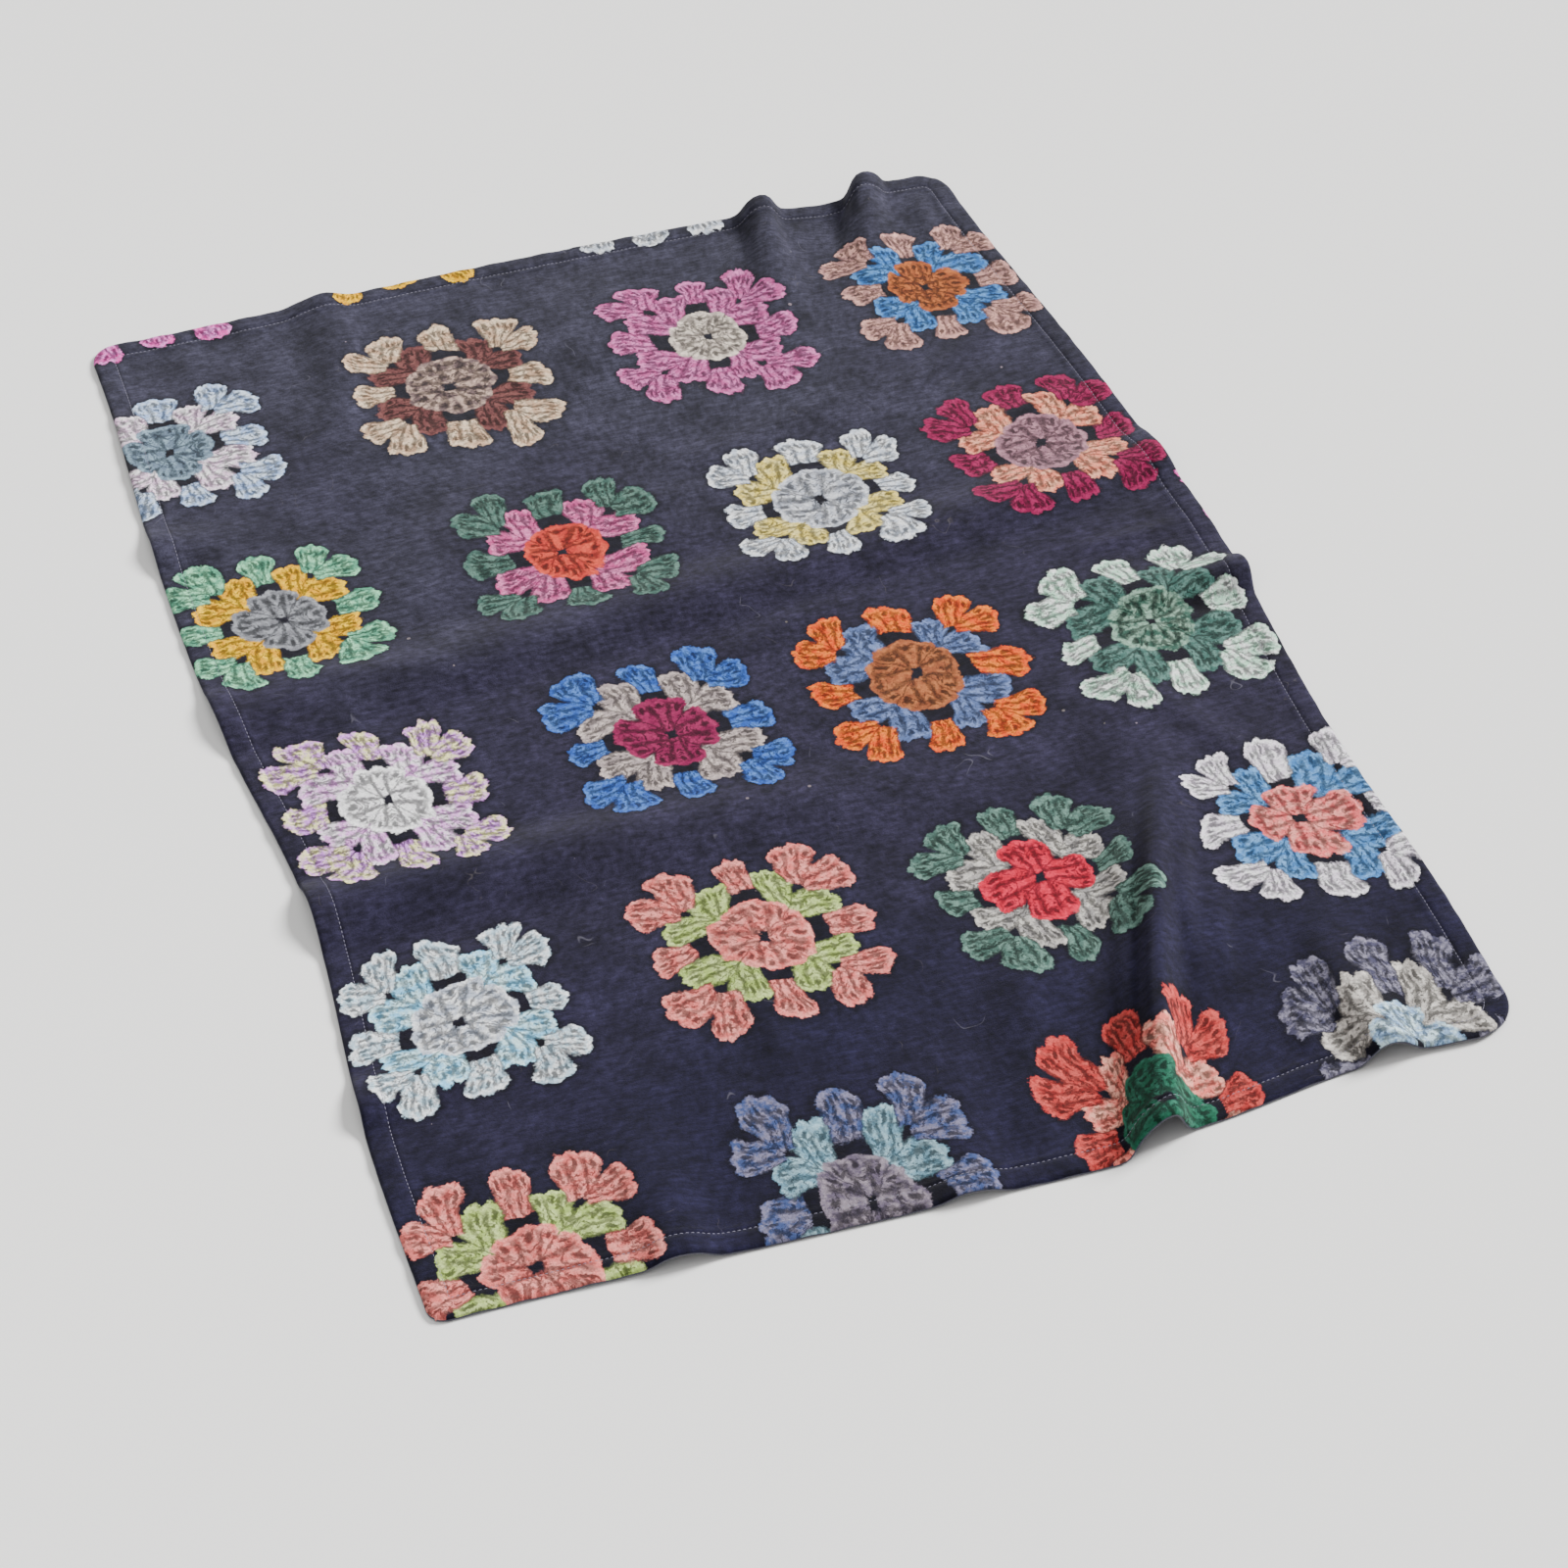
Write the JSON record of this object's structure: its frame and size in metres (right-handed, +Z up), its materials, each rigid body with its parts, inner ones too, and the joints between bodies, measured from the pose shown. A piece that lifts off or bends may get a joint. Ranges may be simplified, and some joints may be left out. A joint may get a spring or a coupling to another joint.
{
  "type": "printed fleece throw blanket",
  "caption": "Soft fleece throw with a turned hem and an edge-to-edge granny-square print, laid out loosely in soft folds.",
  "frame": {"origin": "on the surface that the throw lies on, under the middle of its outline", "axes": "+Z up, +Y from the near hem to the head hem along the long side, +X to the right seen from the near hem"},
  "size_m": [1.0062, 1.4128, 0.0388],
  "materials": {
    "printed_fleece": "short brushed pile, matt, dark navy with a many-coloured print"
  },
  "bodies": {
    "root": {"throw": "printed_fleece"}
  },
  "joints": []
}
